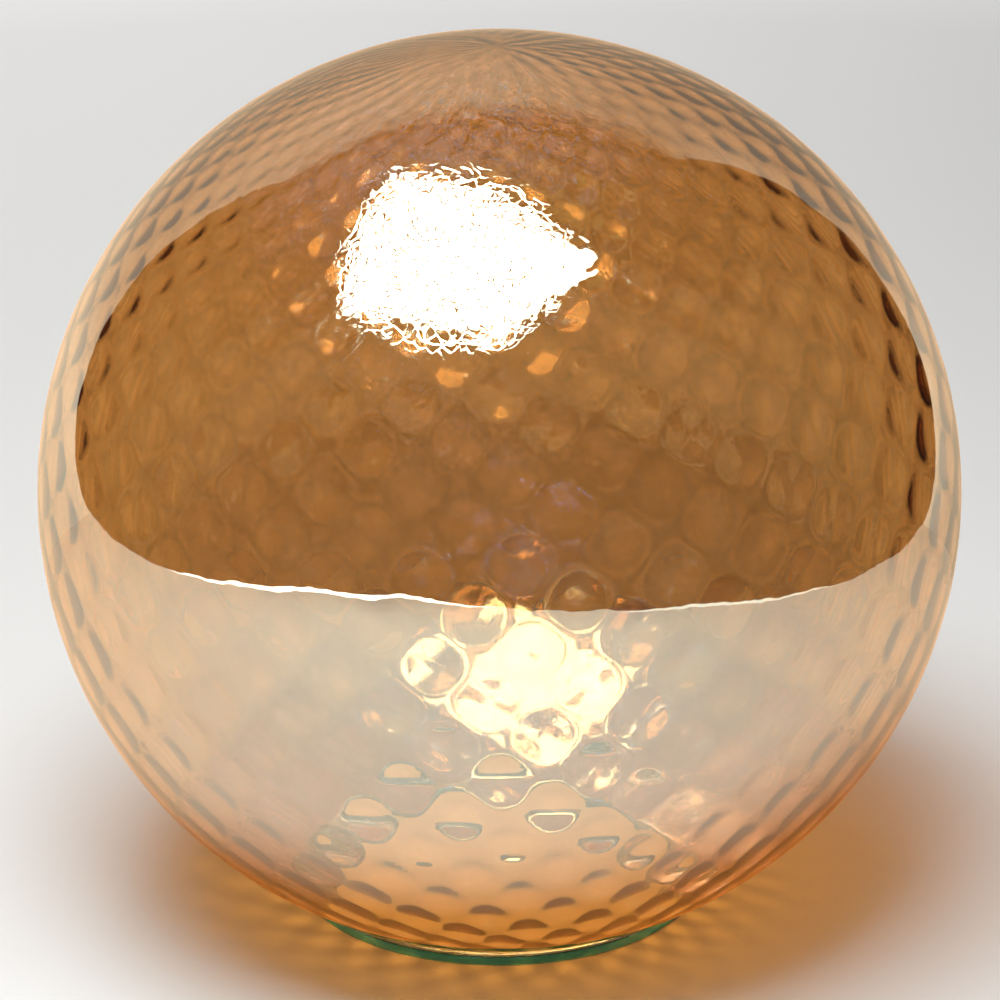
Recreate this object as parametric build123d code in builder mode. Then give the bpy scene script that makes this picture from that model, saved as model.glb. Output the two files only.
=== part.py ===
from build123d import *
import os
from math import sqrt

os.makedirs("parts", exist_ok=True)

# A hollow blown-glass ball, open underneath, that nests in a flat glass ring.
# Millimetres, +Z up. The origin is the centre of the ring's underside, on the table.

# Ball
ball_radius = 175.0
wall = 2.5
rim_arris = 0.4

# Base ring
ring_outer_radius = 78.0
ring_thickness = 4.0
seat_depth = 1.5
ring_arris = 0.4

# How the two meet
contact_radius = 73.4
seat_clearance = 0.2
rim_gap_above_table = 1.8

# The bevelled seat has the slope of the ball where the two touch, halfway down the bevel.
ball_drop = sqrt(ball_radius**2 - contact_radius**2)
seat_slope = contact_radius / ball_drop
seat_run = seat_depth / seat_slope
seat_top_radius = contact_radius + seat_run / 2
bore_radius = contact_radius - seat_run / 2
contact_height = ring_thickness - seat_depth / 2

# The ball rests on one circle of the straight bevel, so its centre follows from that circle.
# It is drawn a hair above the seat, so that the two solids never share any volume.
ball_centre = contact_height + seat_clearance + ball_drop
inner_radius = ball_radius - wall
rim_drop = ball_centre - rim_gap_above_table
rim_outer_radius = sqrt(ball_radius**2 - rim_drop**2)
rim_inner_radius = sqrt(inner_radius**2 - rim_drop**2)


# Ball: one wall of even thickness, cut flat across the bottom, with both corners of the rim rounded.
with BuildPart() as ball:
    with BuildSketch(Plane.XZ) as wall_section:
        with BuildLine() as wall_outline:
            outer_pole = (0, ball_centre + ball_radius)
            inner_pole = (0, ball_centre + inner_radius)
            rim_outer = (rim_outer_radius, rim_gap_above_table)
            rim_inner = (rim_inner_radius, rim_gap_above_table)
            outer_waist = (ball_radius, ball_centre)
            inner_waist = (inner_radius, ball_centre)
            ThreePointArc(rim_outer, outer_waist, outer_pole)
            Line(outer_pole, inner_pole)
            ThreePointArc(inner_pole, inner_waist, rim_inner)
            Line(rim_inner, rim_outer)
        make_face()
        rim_corners = wall_section.vertices().sort_by(Axis.Y)[:2]
        fillet(rim_corners, radius=rim_arris)
    revolve(axis=Axis.Z)


# Base ring: a flat annulus with a polished upright edge and a bevelled seat round its bore.
with BuildPart() as base_ring:
    with BuildSketch(Plane.XZ) as ring_section:
        with BuildLine() as ring_outline:
            Polyline(
                (bore_radius, ring_arris),
                (bore_radius + ring_arris, 0),
                (ring_outer_radius - ring_arris, 0),
                (ring_outer_radius, ring_arris),
                (ring_outer_radius, ring_thickness - ring_arris),
                (ring_outer_radius - ring_arris, ring_thickness),
                (seat_top_radius, ring_thickness),
                (bore_radius, ring_thickness - seat_depth),
                close=True,
            )
        make_face()
    revolve(axis=Axis.Z)


ball.part.label = "ball"
base_ring.part.label = "base_ring"

for piece in (ball, base_ring):
    export_step(piece.part, f"parts/{piece.part.label}.step")

print(f"ball centre {ball_centre:.2f}, height {ball_centre + ball_radius:.2f}")
print(f"rim radii {rim_inner_radius:.2f} to {rim_outer_radius:.2f}")
print(f"bore radius {bore_radius:.2f}, seat top radius {seat_top_radius:.2f}")
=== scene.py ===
from math import cos, pi, radians, sin, sqrt

import bpy
import numpy as np
from mathutils import Matrix, Vector


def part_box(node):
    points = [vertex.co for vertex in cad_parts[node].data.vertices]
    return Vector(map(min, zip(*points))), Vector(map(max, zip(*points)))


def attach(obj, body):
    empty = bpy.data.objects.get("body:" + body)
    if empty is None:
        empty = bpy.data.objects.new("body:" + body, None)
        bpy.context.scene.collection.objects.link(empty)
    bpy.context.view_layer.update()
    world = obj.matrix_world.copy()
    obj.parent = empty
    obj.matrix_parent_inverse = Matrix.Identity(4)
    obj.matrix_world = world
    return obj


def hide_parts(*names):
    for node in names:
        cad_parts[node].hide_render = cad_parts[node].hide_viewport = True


# A hollow ball of half-mirrored amber glass, patterned inside, standing in a flat glass ring.
# Metres, in the frame of the CAD model: +Z up, the origin under the ring's centre.

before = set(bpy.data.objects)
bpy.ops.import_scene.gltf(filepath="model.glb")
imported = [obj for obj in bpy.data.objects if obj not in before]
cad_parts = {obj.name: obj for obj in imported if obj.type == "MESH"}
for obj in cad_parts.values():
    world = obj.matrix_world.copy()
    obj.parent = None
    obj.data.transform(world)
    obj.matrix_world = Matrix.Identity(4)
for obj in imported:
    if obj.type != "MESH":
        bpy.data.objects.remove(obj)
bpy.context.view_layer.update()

# ---------------------------------------------------------------- sizes

ball_low, ball_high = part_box("ball")
ring_low, ring_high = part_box("base_ring")

BALL_RADIUS = (ball_high[1] - ball_low[1]) / 2
CENTRE = Vector((0, 0, ball_high[2] - BALL_RADIUS))
RIM_HEIGHT = ball_low[2]
WALL = 0.0025
RIM_ROUND = 0.0004

RING_RADIUS = (ring_high[0] - ring_low[0]) / 2
RING_THICKNESS = ring_high[2]
BORE_RADIUS = 0.0718
SEAT_TOP_RADIUS = 0.0750
SEAT_DEPTH = 0.0015
ARRIS = 0.0004
RING_COLUMNS = 256

# The inside is moulded in cells, each row half a step round from its neighbours.
# A cell is a low round cushion, domed like a lens, that meets the lower land round it at a plain edge.
CELLS_PER_ROW = 31
ROW_STEP = radians(5.36)
ROW_CROWDING = 0.24
CUSHION_HEIGHT = 0.0010
CUSHION_WIDTH = 0.66
CUSHION_TALLNESS = 0.70
EDGE_SOFTNESS = 0.10
MEAN_CUSHION = 0.37
CUSHION_VARIETY = 0.20
SHALLOWER_LEFT = 0.40
SHALLOWER_RIGHT = 0.22

# The rows lean a little: they rise to the right as seen from the front, with a slight twist.
LATTICE_LEAN = radians(7.9)
LATTICE_TWIST = 0.034
LATTICE_WANDER = radians(0.45)
FIRST_CELL_LONGITUDE = radians(4.1)
FIRST_CELL_LATITUDE = radians(1.7)

# The outside follows the cells only faintly, more towards the top, and ripples a little of itself.
ECHO_BELOW = 0.05
ECHO_ABOVE = 0.10
SKIN_RELIEF = 0.000045

# One patch near the top is finely crinkled: a soft waviness, and sharp creases in its middle.
# The distances are in ball radii, the depth in metres, and the scales in cells of noise per metre.
CRINKLE_MIDDLE = Vector((-0.10, -0.65, 0.75))
CRINKLE_FULL = 0.30
CRINKLE_END = 0.64
CRINKLE_ELSEWHERE = 0.12
CRINKLE_DEPTH = 0.00020
CRINKLE_SCALE = 160.0
CREASES_FULL = 0.12
CREASES_END = 0.25
CREASE_SHARE = 0.66
CREASE_SCALE = 270.0
CREASE_WIDTH = 0.12
CREASE_WANDER = 0.006

# The inside has twice as many columns as the outside, and closer rows where the cells are plain to see.
COLUMNS = CELLS_PER_ROW * 7
OUTER_ROWS = 96
INNER_ROWS = 150
INNER_TOP_ROWS = 28
INNER_TOP_STARTS = radians(50)

# Towards the rim the outside's relief and the cells fade out over these angles.
RELIEF_FADE = radians(6)
CELL_FADE = radians(4)

# The camera, for a frame of 1000 x 1000.
CAMERA_DISTANCE = 9.5 * BALL_RADIUS
CAMERA_ELEVATION = radians(21)
CAMERA_AIM = Vector((0.001, 0, -0.022)) * BALL_RADIUS
FOCAL_PER_FRAME = 4.365

rng = np.random.default_rng(7)


# ---------------------------------------------------------------- shape helpers

def random_waves(count, shortest, longest):
    """Plane waves of random direction, length and phase, for ripples()."""
    directions = rng.normal(size=(count, 3))
    directions /= np.linalg.norm(directions, axis=1)[:, None]
    lengths = rng.uniform(shortest, longest, size=count)
    phases = rng.uniform(0, 2 * pi, size=count)
    return directions * (2 * pi / lengths)[:, None], phases


def ripples(points, waves):
    """Smooth noise, mostly between -1 and 1, at points on a sphere of radius 1."""
    directions, phases = waves
    total = np.zeros(points.shape[:-1])
    for direction, phase in zip(directions, phases):
        total += np.sin(points @ direction + phase)
    return total / sqrt(2 * len(phases))


def unit_sphere(longitude, latitude):
    """Points on a sphere of radius 1."""
    return np.stack([
        np.cos(latitude) * np.cos(longitude),
        np.cos(latitude) * np.sin(longitude),
        np.sin(latitude),
    ], axis=-1)


def strip_between(upper, lower):
    """Faces between two rings, each given as its first point and its count. The lower may count double."""
    start, columns = upper
    below, below_columns = lower
    around = np.arange(columns)
    beside = (around + 1) % columns
    if below_columns == columns:
        strip = np.stack([start + around, below + around, below + beside, start + beside], axis=1)
        return strip.tolist()
    first, middle, last = 2 * around, 2 * around + 1, 2 * beside
    left = np.stack([start + around, below + first, below + middle], axis=1)
    centre = np.stack([start + around, below + middle, start + beside], axis=1)
    right = np.stack([start + beside, below + middle, below + last], axis=1)
    return np.concatenate([left, centre, right]).tolist()


def skin(name, rings, first_pole=None, last_pole=None, closed=False, slots=None):
    """A mesh between neighbouring rings of points, with a fan to each pole, or closed on itself."""
    points = np.concatenate(rings)
    counts = [len(ring) for ring in rings]
    starts = [sum(counts[:index]) for index in range(len(counts))]
    places = list(zip(starts, counts))
    pairs = list(zip(places[:-1], places[1:]))
    if closed:
        pairs.append((places[-1], places[0]))
    faces = []
    face_slots = []
    for index, (upper, lower) in enumerate(pairs):
        strip = strip_between(upper, lower)
        faces.extend(strip)
        face_slots.extend([slots[index] if slots else 0] * len(strip))
    for pole, (start, columns), flip in ((first_pole, places[0], False), (last_pole, places[-1], True)):
        if pole is None:
            continue
        tip = len(points)
        points = np.concatenate([points, [pole]])
        around = np.arange(columns)
        fan = np.stack([np.full(columns, tip), start + around, start + (around + 1) % columns], axis=1)
        if flip:
            fan = fan[:, ::-1]
        faces.extend(fan.tolist())
        face_slots.extend([(slots[-1] if flip else slots[0]) if slots else 0] * columns)
    mesh = bpy.data.meshes.new(name)
    mesh.from_pydata(points.tolist(), [], faces)
    mesh.polygons.foreach_set("material_index", face_slots)
    mesh.polygons.foreach_set("use_smooth", [True] * len(faces))
    mesh.update()
    piece = bpy.data.objects.new(name, mesh)
    bpy.context.scene.collection.objects.link(piece)
    return piece, points


# ---------------------------------------------------------------- the cells

def rows_at(latitude):
    """How many rows of cells lie between the ball's waist and a latitude. They crowd towards the top."""
    return (latitude + ROW_CROWDING * np.maximum(latitude, 0) ** 3) / ROW_STEP


def in_mould(sphere):
    """Longitude from the front and latitude, about the leaning axis that the rows of cells run round."""
    x, y, z = sphere[..., 0], sphere[..., 1], sphere[..., 2]
    across = x * cos(LATTICE_LEAN) + z * sin(LATTICE_LEAN)
    upward = z * cos(LATTICE_LEAN) - x * sin(LATTICE_LEAN)
    return np.arctan2(across, -y), np.arcsin(np.clip(upward, -1, 1))


class Lattice:
    """The pattern of cells, with the small irregularities of hand-blown glass."""

    def __init__(self):
        self.round_waves = random_waves(10, 0.7, 1.6)
        self.up_waves = random_waves(10, 0.7, 1.6)
        self.height_waves = random_waves(14, 0.35, 0.9)

    def cushion(self, sphere):
        """About 0 on the land between the cells, and 1 in the middle of each."""
        longitude, latitude = in_mould(sphere)
        turned = longitude - FIRST_CELL_LONGITUDE - LATTICE_TWIST * latitude
        raised = latitude - FIRST_CELL_LATITUDE
        turned = turned + ripples(sphere, self.round_waves) * LATTICE_WANDER
        raised = raised + ripples(sphere, self.up_waves) * LATTICE_WANDER
        across = CELLS_PER_ROW * turned / pi
        rows = rows_at(raised)
        depth = np.full(rows.shape, -np.inf)
        for step in (0, 1):
            aside = (across - step) - 2 * np.round((across - step) / 2)
            above = (rows - step) - 2 * np.round((rows - step) / 2)
            depth = np.maximum(depth, 1 - (aside / CUSHION_WIDTH) ** 2 - (above / CUSHION_TALLNESS) ** 2)
        return (depth + np.sqrt(depth ** 2 + EDGE_SOFTNESS ** 2)) / 2

    def thickening(self, sphere):
        """How far the inside stands in from its mean sphere, in metres. It fades where cells grow small."""
        _, latitude = in_mould(sphere)
        variety = 1 + CUSHION_VARIETY * ripples(sphere, self.height_waves)
        aside = sphere[..., 0]
        variety = variety - SHALLOWER_LEFT * np.maximum(-aside, 0) - SHALLOWER_RIGHT * np.maximum(aside, 0)
        fade = np.clip(np.cos(latitude) * 1.5, 0, 1) ** 1.3
        return CUSHION_HEIGHT * variety * fade * (self.cushion(sphere) - MEAN_CUSHION)


# ---------------------------------------------------------------- the ball

def ring_grid(latitudes, columns):
    """Directions from the centre, one row for each latitude, and their latitudes."""
    longitudes = np.arange(columns) * 2 * pi / columns
    longitude, latitude = np.meshgrid(longitudes, latitudes)
    return unit_sphere(longitude, latitude), latitude


def make_ball():
    """The ball: nearly smooth outside, patterned inside, cut flat underneath, with a rounded rim."""
    lattice = Lattice()
    skin_waves = random_waves(40, 0.07, 0.22)
    inner_radius = BALL_RADIUS - WALL
    drop = CENTRE.z - RIM_HEIGHT
    outer_rim = -np.arcsin((drop - RIM_ROUND) / BALL_RADIUS)
    inner_rim = -np.arcsin((drop - RIM_ROUND) / inner_radius)

    directions, latitude = ring_grid(np.linspace(pi / 2, outer_rim, OUTER_ROWS + 1)[1:], COLUMNS)
    fade = np.clip((latitude - outer_rim) / RELIEF_FADE, 0, 1)
    height = np.clip(np.sin(latitude), 0, 1)
    echo = ECHO_BELOW + (ECHO_ABOVE - ECHO_BELOW) * height
    relief = SKIN_RELIEF * ripples(directions, skin_waves) + echo * lattice.thickening(directions)
    outer = directions * (BALL_RADIUS + relief * fade)[..., None]
    focus = lattice.cushion(directions).reshape(-1)

    inner_latitudes = np.concatenate([
        np.linspace(inner_rim, INNER_TOP_STARTS, INNER_ROWS, endpoint=False),
        np.linspace(INNER_TOP_STARTS, pi / 2, INNER_TOP_ROWS, endpoint=False),
    ])
    directions, latitude = ring_grid(inner_latitudes, 2 * COLUMNS)
    fade = np.clip((latitude - inner_rim) / CELL_FADE, 0, 1)
    inward = lattice.thickening(directions) * fade
    inner = directions * (inner_radius - inward)[..., None]

    longitude = np.arange(COLUMNS) * 2 * pi / COLUMNS
    turn = np.stack([np.cos(longitude), np.sin(longitude), np.zeros(COLUMNS)], axis=1)
    cut = np.array([0, 0, -drop])
    outer_foot = np.linalg.norm(outer[-1, 0, :2])
    inner_foot = np.linalg.norm(inner[0, 0, :2])
    rim = []
    for radius, lift in (
        (outer_foot - 0.35 * RIM_ROUND, 0.3 * RIM_ROUND),
        (outer_foot - 1.3 * RIM_ROUND, 0.0),
        ((outer_foot + inner_foot) / 2, 0.0),
        (inner_foot + 1.3 * RIM_ROUND, 0.0),
        (inner_foot + 0.35 * RIM_ROUND, 0.3 * RIM_ROUND),
    ):
        rim.append(turn * radius + cut + np.array([0, 0, lift]))

    rings = list(outer) + rim + list(inner)
    slots = [0] * (OUTER_ROWS - 1) + [2] * (len(rim) + 1) + [1] * (len(inner) - 1)
    centre = np.array(CENTRE)
    piece, points = skin(
        "ball_glass",
        [ring + centre for ring in rings],
        first_pole=centre + np.array([0, 0, BALL_RADIUS]),
        last_pole=centre + np.array([0, 0, inner_radius]),
        slots=slots,
    )
    unlit = np.zeros(len(points) - len(focus))
    attribute = piece.data.attributes.new("cushion", "FLOAT", "POINT")
    attribute.data.foreach_set("value", np.concatenate([focus, unlit]))
    return piece


# ---------------------------------------------------------------- the base ring

def make_base_ring():
    """The flat ring: ground upright edge, small arrises, and the bevelled seat round its bore."""
    seat_foot = RING_THICKNESS - SEAT_DEPTH
    profile = [
        (BORE_RADIUS, ARRIS),
        (BORE_RADIUS + 0.3 * ARRIS, 0.3 * ARRIS),
        (BORE_RADIUS + ARRIS, 0),
        (RING_RADIUS - ARRIS, 0),
        (RING_RADIUS - 0.3 * ARRIS, 0.3 * ARRIS),
        (RING_RADIUS, ARRIS),
        (RING_RADIUS, RING_THICKNESS - ARRIS),
        (RING_RADIUS - 0.3 * ARRIS, RING_THICKNESS - 0.3 * ARRIS),
        (RING_RADIUS - ARRIS, RING_THICKNESS),
        (SEAT_TOP_RADIUS, RING_THICKNESS),
        (BORE_RADIUS, seat_foot),
    ]
    columns = RING_COLUMNS
    longitude = np.arange(columns) * 2 * pi / columns
    turn = np.stack([np.cos(longitude), np.sin(longitude), np.zeros(columns)], axis=1)
    rings = [turn * radius + np.array([0, 0, height]) for radius, height in profile]
    ground_edges = []
    for (radius, _), (next_radius, _) in zip(profile, profile[1:] + profile[:1]):
        ground_edges.append(1 if radius == next_radius == RING_RADIUS else 0)
    piece, _ = skin("base_ring_glass", rings, closed=True, slots=ground_edges)
    return piece


# ---------------------------------------------------------------- materials

# What the amber film lets through, and what it reflects, head on and at a slant.
# From inside it reflects bluish head on, and amber at the slants at which light stays trapped in the wall.
FILM_PASSES = (0.610, 0.368, 0.152, 1)
FILM_PASSES_ASLANT = (0.87, 0.56, 0.25, 1)
FILM_REFLECTS = (0.378, 0.430, 0.364, 1)
FILM_REFLECTS_ASLANT = (0.39, 0.235, 0.13, 1)
FILM_REFLECTS_INSIDE = (0.16, 0.31, 0.64, 1)
FILM_REFLECTS_INSIDE_ASLANT = (0.46, 0.29, 0.15, 1)
TRAPPED_BETWEEN = (0.08, 0.20)
FILM_MOTTLE = (0.93, 1.07)
FILM_OVER_CELLS = (0.955, 1.09)

# The light that passes the film to the floor, head on and at a slant, and how much the cells gather it.
FLOOR_TINT = (0.71, 0.42, 0.125, 1)
FLOOR_TINT_ASLANT = (0.46, 0.37, 0.25, 1)
FLOOR_GATHERING = (0.68, 1.65)
GLASS_IOR = 1.5


def new_material(name):
    material = bpy.data.materials.new(name)
    material.use_nodes = True
    tree = material.node_tree
    tree.nodes.clear()
    return material, tree


def node(tree, kind, **inputs):
    made = tree.nodes.new(kind)
    for key, value in inputs.items():
        made.inputs[key.replace("_", " ")].default_value = value
    return made


def lamp_rays(tree):
    """1 for the rays that carry light to the floor, 0 for the rays that see the glass."""
    path = tree.nodes.new("ShaderNodeLightPath")
    either = tree.nodes.new("ShaderNodeMath")
    either.operation = "MAXIMUM"
    tree.links.new(path.outputs["Is Shadow Ray"], either.inputs[0])
    tree.links.new(path.outputs["Is Diffuse Ray"], either.inputs[1])
    return either.outputs[0]


def finish_glass(tree, glass, clear):
    """The glass as it is seen, and a tinted clear surface for the light that passes it to the floor."""
    mix = tree.nodes.new("ShaderNodeMixShader")
    tree.links.new(lamp_rays(tree), mix.inputs[0])
    tree.links.new(glass, mix.inputs[1])
    tree.links.new(clear, mix.inputs[2])
    output = tree.nodes.new("ShaderNodeOutputMaterial")
    tree.links.new(mix.outputs[0], output.inputs["Surface"])


def mixed_colour(tree, factor, low, high):
    """A colour between two, each given as a colour or as a node's output."""
    made = tree.nodes.new("ShaderNodeMix")
    made.data_type = "RGBA"
    tree.links.new(factor, made.inputs["Factor"])
    for name, colour in (("A", low), ("B", high)):
        if isinstance(colour, bpy.types.NodeSocket):
            tree.links.new(colour, made.inputs[name])
        else:
            made.inputs[name].default_value = colour
    return made.outputs["Result"]


def mapped(tree, value, from_range, to_range):
    """A value moved from one range to another, and held inside it."""
    made = tree.nodes.new("ShaderNodeMapRange")
    made.inputs["From Min"].default_value, made.inputs["From Max"].default_value = from_range
    made.inputs["To Min"].default_value, made.inputs["To Max"].default_value = to_range
    tree.links.new(value, made.inputs["Value"])
    return made.outputs[0]


def scaled_colour(tree, colour, by):
    made = tree.nodes.new("ShaderNodeVectorMath")
    made.operation = "SCALE"
    tree.links.new(colour, made.inputs[0])
    tree.links.new(by, made.inputs["Scale"])
    return made.outputs[0]


def crinkled_normal(tree, position):
    """Fine crinkles in one patch near the top, where the glass was gathered last, fading out round it."""
    apart = tree.nodes.new("ShaderNodeVectorMath")
    apart.operation = "DISTANCE"
    apart.inputs[1].default_value = CENTRE + CRINKLE_MIDDLE * BALL_RADIUS
    tree.links.new(position, apart.inputs[0])
    reach = (CRINKLE_FULL * BALL_RADIUS, CRINKLE_END * BALL_RADIUS)
    strength = mapped(tree, apart.outputs["Value"], reach, (1.0, CRINKLE_ELSEWHERE))
    bend = node(tree, "ShaderNodeTexNoise", Scale=CRINKLE_SCALE, Detail=1.0, Roughness=0.5)
    tree.links.new(position, bend.inputs["Vector"])
    bent = tree.nodes.new("ShaderNodeVectorMath")
    bent.operation = "MULTIPLY_ADD"
    bent.inputs[1].default_value = (CREASE_WANDER, CREASE_WANDER, CREASE_WANDER)
    tree.links.new(bend.outputs["Color"], bent.inputs[0])
    tree.links.new(position, bent.inputs[2])
    creases = node(tree, "ShaderNodeTexVoronoi", Scale=CREASE_SCALE)
    creases.feature = "DISTANCE_TO_EDGE"
    tree.links.new(bent.outputs[0], creases.inputs["Vector"])
    pillows = mapped(tree, creases.outputs["Distance"], (0.0, CREASE_WIDTH), (0.0, 1.0))
    crease_reach = (CREASES_FULL * BALL_RADIUS, CREASES_END * BALL_RADIUS)
    share = mapped(tree, apart.outputs["Value"], crease_reach, (CREASE_SHARE, 0.0))
    wave = tree.nodes.new("ShaderNodeMath")
    wave.operation = "MULTIPLY_ADD"
    tree.links.new(pillows, wave.inputs[0])
    tree.links.new(share, wave.inputs[1])
    tree.links.new(bend.outputs["Fac"], wave.inputs[2])
    bump = tree.nodes.new("ShaderNodeBump")
    bump.inputs["Distance"].default_value = CRINKLE_DEPTH
    tree.links.new(strength, bump.inputs["Strength"])
    tree.links.new(wave.outputs[0], bump.inputs["Height"])
    return bump.outputs[0]


def lustre_material():
    """The outside of the ball: a half-mirror film that lets amber light through, most over the cells."""
    material, tree = new_material("amber_lustre")
    position = tree.nodes.new("ShaderNodeTexCoord").outputs["Object"]
    normal = crinkled_normal(tree, position)

    facing = node(tree, "ShaderNodeLayerWeight", Blend=0.3).outputs["Facing"]
    mottle = node(tree, "ShaderNodeTexNoise", Scale=70.0, Detail=6.0, Roughness=0.72)
    tree.links.new(position, mottle.inputs["Vector"])
    density = mapped(tree, mottle.outputs["Fac"], (0.3, 0.7), FILM_MOTTLE)
    passed = mixed_colour(tree, facing, FILM_PASSES, FILM_PASSES_ASLANT)
    cell = tree.nodes.new("ShaderNodeAttribute")
    cell.attribute_name = "cushion"
    over_cells = mapped(tree, cell.outputs["Fac"], (0.0, 0.9), FILM_OVER_CELLS)
    glass = node(tree, "ShaderNodeBsdfGlass", Roughness=0.0, IOR=GLASS_IOR)
    coloured = scaled_colour(tree, scaled_colour(tree, passed, density), over_cells)
    tree.links.new(coloured, glass.inputs["Color"])
    tree.links.new(normal, glass.inputs["Normal"])

    from_outside = mixed_colour(tree, facing, FILM_REFLECTS, FILM_REFLECTS_ASLANT)
    trapped = mapped(tree, facing, TRAPPED_BETWEEN, (0, 1))
    from_inside = mixed_colour(tree, trapped, FILM_REFLECTS_INSIDE, FILM_REFLECTS_INSIDE_ASLANT)
    backfacing = tree.nodes.new("ShaderNodeNewGeometry").outputs["Backfacing"]
    mirror = node(tree, "ShaderNodeBsdfAnisotropic", Roughness=0.015)
    tree.links.new(mixed_colour(tree, backfacing, from_outside, from_inside), mirror.inputs["Color"])
    tree.links.new(normal, mirror.inputs["Normal"])
    film = tree.nodes.new("ShaderNodeAddShader")
    tree.links.new(glass.outputs[0], film.inputs[0])
    tree.links.new(mirror.outputs[0], film.inputs[1])

    aslant = node(tree, "ShaderNodeLayerWeight", Blend=0.5).outputs["Facing"]
    tint = mixed_colour(tree, aslant, FLOOR_TINT, FLOOR_TINT_ASLANT)
    glow = mapped(tree, cell.outputs["Fac"], (0, 1), FLOOR_GATHERING)
    clear = tree.nodes.new("ShaderNodeBsdfTransparent")
    tree.links.new(scaled_colour(tree, tint, glow), clear.inputs["Color"])
    finish_glass(tree, film.outputs[0], clear.outputs[0])
    return material


def plain_glass_material(name, colour, clear_colour, roughness=0.0):
    """Uncoated glass, with its tint."""
    material, tree = new_material(name)
    glass = node(tree, "ShaderNodeBsdfGlass", Color=colour, Roughness=roughness, IOR=GLASS_IOR)
    clear = node(tree, "ShaderNodeBsdfTransparent", Color=clear_colour)
    finish_glass(tree, glass.outputs[0], clear.outputs[0])
    return material


def ring_material():
    """Plain flat glass, green where it is looked through lengthwise."""
    material = plain_glass_material("green_glass", (0.90, 1.0, 0.95, 1), (0.9, 0.97, 0.92, 1))
    tree = material.node_tree
    body = node(tree, "ShaderNodeVolumeAbsorption", Color=(0.12, 0.6, 0.35, 1), Density=25.0)
    output = next(n for n in tree.nodes if n.type == "OUTPUT_MATERIAL")
    tree.links.new(body.outputs[0], output.inputs["Volume"])
    return material


def ground_edge_material():
    """The ring's upright edge, ground and rubbed: it scatters the green of the glass behind it."""
    material, tree = new_material("ground_edge_glass")
    where = tree.nodes.new("ShaderNodeTexCoord")
    grain = node(tree, "ShaderNodeTexNoise", Scale=55.0, Detail=3.0, Roughness=0.6)
    tree.links.new(where.outputs["Object"], grain.inputs["Vector"])
    green = tree.nodes.new("ShaderNodeValToRGB")
    green.color_ramp.elements[0].position = 0.3
    green.color_ramp.elements[0].color = (0.10, 0.56, 0.48, 1)
    green.color_ramp.elements[1].position = 0.7
    green.color_ramp.elements[1].color = (0.15, 0.72, 0.64, 1)
    tree.links.new(grain.outputs["Fac"], green.inputs["Fac"])
    scatter = tree.nodes.new("ShaderNodeBsdfDiffuse")
    tree.links.new(green.outputs["Color"], scatter.inputs["Color"])
    glass = node(tree, "ShaderNodeBsdfGlass", Color=(0.35, 0.8, 0.6, 1), Roughness=0.25, IOR=GLASS_IOR)
    mix = node(tree, "ShaderNodeMixShader", Fac=0.65)
    tree.links.new(glass.outputs[0], mix.inputs[1])
    tree.links.new(scatter.outputs[0], mix.inputs[2])
    clear = node(tree, "ShaderNodeBsdfTransparent", Color=(0.5, 0.75, 0.6, 1))
    finish_glass(tree, mix.outputs[0], clear.outputs[0])
    return material


# ---------------------------------------------------------------- the object

ball = make_ball()
for made in (
    lustre_material(),
    plain_glass_material("inner_glass", (1, 1, 1, 1), (1, 1, 1, 1)),
    plain_glass_material("cut_rim_glass", (0.45, 0.55, 0.5, 1), (0.7, 0.75, 0.7, 1), roughness=0.1),
):
    ball.data.materials.append(made)
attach(ball, "ball")
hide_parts("ball")

base_ring = make_base_ring()
base_ring.data.materials.append(ring_material())
base_ring.data.materials.append(ground_edge_material())
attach(base_ring, "base")
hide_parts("base_ring")


# ---------------------------------------------------------------- the studio

# A sheet of pale paper lies under the object and curves up behind it, in a dark room. In ball radii.
PAPER_FRONT = [(-6.0, -6.5), (-4.0, -9.7), (0.0, -9.6), (2.9, -7.3), (4.2, -4.5), (4.2, -0.5)]
PAPER_BEND = 1.6
PAPER_BACK = 3.5
PAPER_TOP = 7.4
PAPER_LEFT_AT_BEND = -5.0
PAPER_RIGHT_AT_BEND = 3.8
PAPER_LEFT_AT_BACK = -4.6
PAPER_RIGHT_AT_BACK = 3.6
PAPER_LEFT_SIDE = [(-5.32, -1.0), (-5.63, -3.5)]

# Each curled edge's line, how far its bends curl out, and how brightly it glows: a painted highlight for
# the light it catches.
PAPER_EDGES = (
    ("left_edge", PAPER_LEFT_SIDE + PAPER_FRONT[:3], (1.10, 1.14, 1.18), 4.0),
    ("right_edge", PAPER_FRONT[3:], (1.08,), 1.7),
)

# How bright the paper's rise glows from bottom to top, and from left to right: painted light, not lit by
# the lamps.
SWEEP_COLOUR = (0.97, 1.0, 1.0, 1)
SWEEP_UP = (
    (0.0, 0.88), (0.05, 1.0), (0.10, 1.0), (0.19, 0.68), (0.27, 0.48),
    (0.40, 0.40), (0.60, 0.42), (0.80, 0.34), (1.0, 0.06),
)
SWEEP_ACROSS = ((0.0, 1.0), (0.55, 0.97), (0.75, 0.65), (0.90, 0.70), (1.0, 0.95))
SWEEP_STEPS = 13

# The floor, in metres, and the glow that keeps it pale past the lamps' reach, from and to in ball radii.
FLOOR_REACH = 60.0
FLOOR_COLOUR = (0.80, 0.80, 0.80, 1)
FAR_GLOW = 0.69
FAR_GLOW_COLOUR = (0.99, 0.995, 1.0, 1)
FAR_GLOW_FROM = 7.5
FAR_GLOW_FULL = 17.0

# The softbox's middle and its two sides, in ball radii, from the outline of the highlight.
SOFTBOX_MIDDLE = Vector((-1.31, -2.55, 8.81))
SOFTBOX_SHORT_SIDE = Vector((-3.50, -5.21, 0.31))
SOFTBOX_LONG_SIDE = Vector((6.45, -4.03, 1.30))
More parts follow.
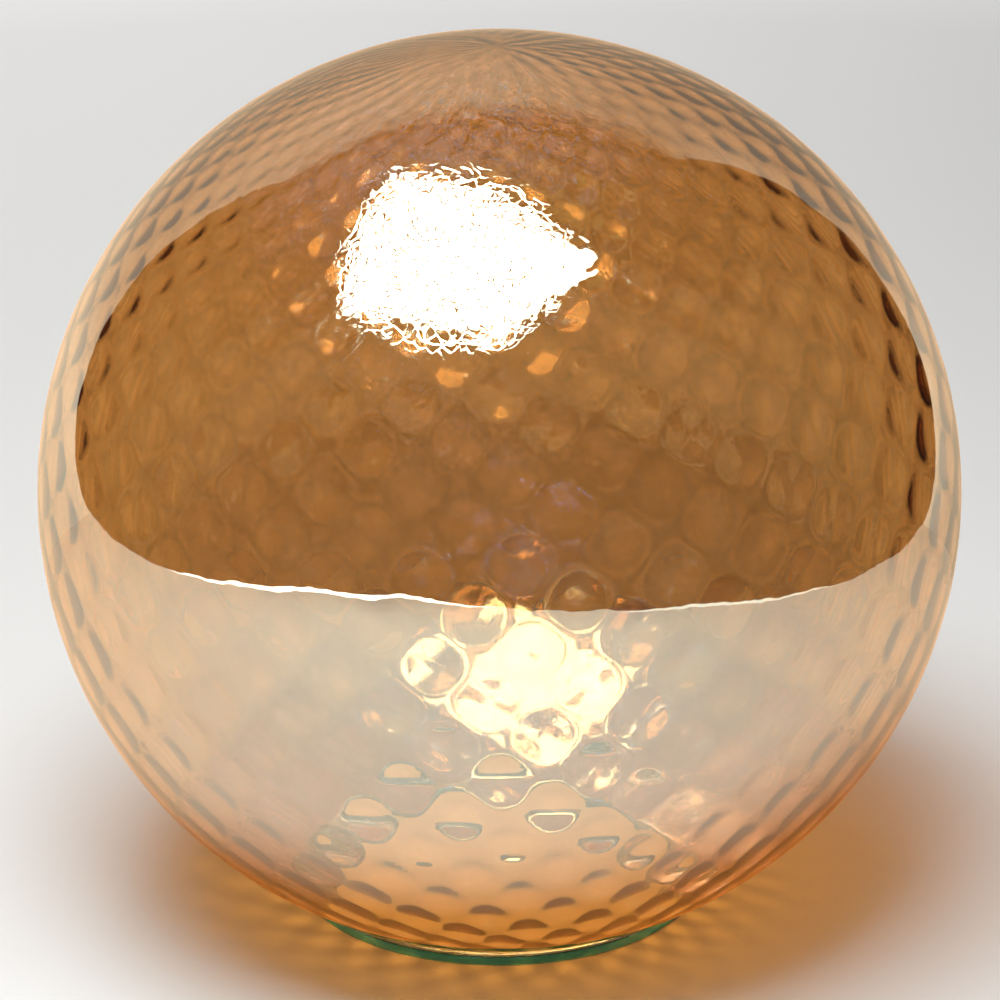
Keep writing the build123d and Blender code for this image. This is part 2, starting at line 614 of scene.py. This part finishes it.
# Each panel's share of those sides, its radiance, how far it hangs, and whether it lights the floor.
SOFTBOX_PANELS = ((1.0, 3.8, 0.0, True), (0.80, 7.2, 0.002, True), (0.84, 34.0, 0.004, False))
LAMP_COLOUR = (1.0, 0.985, 0.96)

# Each floor lamp's name, place, power and width.
FLOOR_LAMPS = (
    ("back_lamp", (-0.6, 2.3, 3.0), 280.0, radians(80)),
    ("front_lamp", (0.0, -1.3, 2.5), 26.0, radians(56)),
)
FLOOR_LAMP_SIZE = 0.3

# What the world shows to the glass, to the floor and to the eye.
ROOM = (0.020, 0.016, 0.013, 1)
FILL = (0.105, 0.107, 0.112, 1)
GROUND = (0.77, 0.775, 0.785, 1)


def flat_piece(name, corners, faces, material):
    mesh = bpy.data.meshes.new(name)
    mesh.from_pydata(corners, [], faces)
    mesh.materials.append(material)
    mesh.update()
    piece = bpy.data.objects.new(name, mesh)
    bpy.context.scene.collection.objects.link(piece)
    return piece


def floor_material():
    material, tree = new_material("studio_floor")
    diffuse = node(tree, "ShaderNodeBsdfDiffuse", Color=FLOOR_COLOUR)
    output = tree.nodes.new("ShaderNodeOutputMaterial")
    tree.links.new(diffuse.outputs[0], output.inputs["Surface"])
    return material


def far_floor_material():
    """The floor past the lamps' reach, kept as pale as it is near the object."""
    material, tree = new_material("far_floor")
    where = tree.nodes.new("ShaderNodeTexCoord")
    away = tree.nodes.new("ShaderNodeVectorMath")
    away.operation = "LENGTH"
    tree.links.new(where.outputs["Object"], away.inputs[0])
    reach = (FAR_GLOW_FROM * BALL_RADIUS, FAR_GLOW_FULL * BALL_RADIUS)
    diffuse = node(tree, "ShaderNodeBsdfDiffuse", Color=FLOOR_COLOUR)
    glow = node(tree, "ShaderNodeEmission", Color=FAR_GLOW_COLOUR)
    tree.links.new(mapped(tree, away.outputs["Value"], reach, (0.0, FAR_GLOW)), glow.inputs["Strength"])
    both = tree.nodes.new("ShaderNodeAddShader")
    tree.links.new(diffuse.outputs[0], both.inputs[0])
    tree.links.new(glow.outputs[0], both.inputs[1])
    output = tree.nodes.new("ShaderNodeOutputMaterial")
    tree.links.new(both.outputs[0], output.inputs["Surface"])
    material.cycles.emission_sampling = "NONE"
    return material


def make_floor():
    """The flat part of the paper, and a floor round it that mirrors don't see."""
    near = PAPER_FRONT + [(PAPER_RIGHT_AT_BEND, PAPER_BEND), (PAPER_LEFT_AT_BEND, PAPER_BEND)]
    near = [(x * BALL_RADIUS, y * BALL_RADIUS, 0) for x, y in near]
    far = [tuple(Vector(corner).normalized() * FLOOR_REACH) for corner in near]
    count = len(near)
    flat_piece("paper", near, [tuple(range(count))], floor_material())
    frame_faces = [(i, count + i, count + (i + 1) % count, (i + 1) % count) for i in range(count)]
    surround = flat_piece("floor", near + far, frame_faces, far_floor_material())
    surround.visible_glossy = False


def make_paper_edge():
    """The paper's front edge curls up a little on both sides and catches the light, as the ball shows.
    Painted highlight: each edge is a glowing strip, seen only in the glass.
    """
    for name, line, reaches, strength in PAPER_EDGES:
        material, tree = new_material(name)
        # painted highlight: the strip glows in place of the light it would catch
        glow = node(tree, "ShaderNodeEmission", Color=(1, 1, 1, 1), Strength=strength)
        output = tree.nodes.new("ShaderNodeOutputMaterial")
        tree.links.new(glow.outputs[0], output.inputs["Surface"])
        inner = [Vector((x, y, 0)) * BALL_RADIUS for x, y in line]
        outer = [inner[0]] + [place * reach for place, reach in zip(inner[1:-1], reaches)] + [inner[-1]]
        count = len(line)
        faces = [(i, i + 1, count + i + 1, count + i) for i in range(count - 1)]
        edge = flat_piece(name, [tuple(place) for place in inner + outer], faces, material)
        edge.visible_camera = False
        edge.visible_diffuse = False
        edge.visible_shadow = False


def ramp(tree, value, stops):
    """A grey colour ramp over a value from 0 to 1."""
    made = tree.nodes.new("ShaderNodeValToRGB")
    elements = made.color_ramp.elements
    while len(elements) < len(stops):
        elements.new(0.5)
    for element, (position, grey) in zip(elements, stops):
        element.position = position
        element.color = (grey, grey, grey, 1)
    tree.links.new(value, made.inputs["Fac"])
    return made.outputs["Color"]


def make_sweep():
    """The paper's curve and its rise, seen only in the glass: a glow of painted light, brighter low down
    and on the left.
    """
    material, tree = new_material("sweep_glow")
    where = tree.nodes.new("ShaderNodeTexCoord")
    split = tree.nodes.new("ShaderNodeSeparateXYZ")
    tree.links.new(where.outputs["Object"], split.inputs[0])
    left = PAPER_LEFT_AT_BACK * BALL_RADIUS
    right = PAPER_RIGHT_AT_BACK * BALL_RADIUS
    top = PAPER_TOP * BALL_RADIUS
    # painted light: the rise's glow, brighter low down and on the left
    up = ramp(tree, mapped(tree, split.outputs["Z"], (0, top), (0, 1)), SWEEP_UP)
    across = ramp(tree, mapped(tree, split.outputs["X"], (left, right), (0, 1)), SWEEP_ACROSS)
    both = tree.nodes.new("ShaderNodeMath")
    both.operation = "MULTIPLY"
    tree.links.new(up, both.inputs[0])
    tree.links.new(across, both.inputs[1])
    glow = node(tree, "ShaderNodeEmission", Color=SWEEP_COLOUR)
    tree.links.new(both.outputs[0], glow.inputs["Strength"])
    output = tree.nodes.new("ShaderNodeOutputMaterial")
    tree.links.new(glow.outputs[0], output.inputs["Surface"])

    bend = PAPER_BACK - PAPER_BEND
    turns = np.linspace(0, pi / 2, SWEEP_STEPS)
    profile = [(PAPER_BEND + bend * sin(turn), bend * (1 - cos(turn))) for turn in turns]
    profile.append((PAPER_BACK, PAPER_TOP))
    corners = []
    for y, z in profile:
        along = (y - PAPER_BEND) / bend
        sides = (
            PAPER_LEFT_AT_BEND + (PAPER_LEFT_AT_BACK - PAPER_LEFT_AT_BEND) * along,
            PAPER_RIGHT_AT_BEND + (PAPER_RIGHT_AT_BACK - PAPER_RIGHT_AT_BEND) * along,
        )
        corners += [tuple(Vector((x, y, z)) * BALL_RADIUS) for x in sides]
    faces = [(2 * i, 2 * i + 1, 2 * i + 3, 2 * i + 2) for i in range(len(profile) - 1)]
    sweep = flat_piece("sweep", corners, faces, material)
    sweep.visible_camera = False
    sweep.visible_diffuse = False
    sweep.visible_shadow = False


def add_lamp(name, kind, place, energy):
    lamp = bpy.data.lights.new(name, kind)
    lamp.energy = energy
    lamp.color = LAMP_COLOUR
    stand = bpy.data.objects.new(name, lamp)
    stand.location = place
    bpy.context.scene.collection.objects.link(stand)
    return stand


def make_softbox():
    """One large softbox overhead, dimmer along its edges: three panels one under the other."""
    short_way = SOFTBOX_SHORT_SIDE.normalized()
    upward = SOFTBOX_SHORT_SIDE.cross(SOFTBOX_LONG_SIDE).normalized()
    long_way = upward.cross(short_way)
    turn = Matrix((short_way, long_way, upward)).transposed().to_euler()
    middle = CENTRE + SOFTBOX_MIDDLE * BALL_RADIUS
    for share, radiance, drop, lights_floor in SOFTBOX_PANELS:
        size = BALL_RADIUS * share
        sides = (SOFTBOX_SHORT_SIDE.length * size, SOFTBOX_LONG_SIDE.length * size)
        stand = add_lamp("softbox", "AREA", middle - upward * drop, radiance * pi * sides[0] * sides[1])
        stand.data.shape = "RECTANGLE"
        stand.data.size, stand.data.size_y = sides
        stand.rotation_euler = turn
        stand.visible_diffuse = lights_floor


def make_floor_lamps():
    """Two wide soft spots that only light the floor, one behind the object and one in front of it."""
    for name, place, energy, width in FLOOR_LAMPS:
        stand = add_lamp(name, "SPOT", place, energy)
        stand.data.spot_size = width
        stand.data.spot_blend = 1.0
        stand.data.shadow_soft_size = FLOOR_LAMP_SIZE
        stand.visible_glossy = False
        stand.visible_transmission = False


def make_world():
    """A dim room to the glass, an even fill to the floor, and a plain pale ground to the eye."""
    world = bpy.data.worlds.new("room")
    bpy.context.scene.world = world
    world.use_nodes = True
    world.cycles.sampling_method = "NONE"
    tree = world.node_tree
    tree.nodes.clear()
    path = tree.nodes.new("ShaderNodeLightPath")
    room = node(tree, "ShaderNodeBackground", Color=ROOM, Strength=1.0)
    fill = node(tree, "ShaderNodeBackground", Color=FILL, Strength=1.0)
    ground = node(tree, "ShaderNodeBackground", Color=GROUND, Strength=1.0)
    lit = tree.nodes.new("ShaderNodeMixShader")
    seen = tree.nodes.new("ShaderNodeMixShader")
    tree.links.new(path.outputs["Is Diffuse Ray"], lit.inputs[0])
    tree.links.new(room.outputs[0], lit.inputs[1])
    tree.links.new(fill.outputs[0], lit.inputs[2])
    tree.links.new(path.outputs["Is Camera Ray"], seen.inputs[0])
    tree.links.new(lit.outputs[0], seen.inputs[1])
    tree.links.new(ground.outputs[0], seen.inputs[2])
    output = tree.nodes.new("ShaderNodeOutputWorld")
    tree.links.new(seen.outputs[0], output.inputs["Surface"])


def make_camera():
    lens = bpy.data.cameras.new("camera")
    lens.sensor_width = 36.0
    lens.lens = FOCAL_PER_FRAME * lens.sensor_width
    camera = bpy.data.objects.new("camera", lens)
    away = Vector((0, -cos(CAMERA_ELEVATION), sin(CAMERA_ELEVATION)))
    camera.location = CENTRE + away * CAMERA_DISTANCE
    look = CENTRE + CAMERA_AIM - camera.location
    camera.rotation_euler = look.to_track_quat("-Z", "Y").to_euler()
    bpy.context.scene.collection.objects.link(camera)
    bpy.context.scene.camera = camera


make_floor()
make_paper_edge()
make_sweep()
make_softbox()
make_floor_lamps()
make_world()
make_camera()

scene = bpy.context.scene
scene.view_settings.view_transform = "Standard"
scene.cycles.max_bounces = 16
scene.cycles.transmission_bounces = 16
scene.cycles.glossy_bounces = 8
scene.cycles.transparent_max_bounces = 16
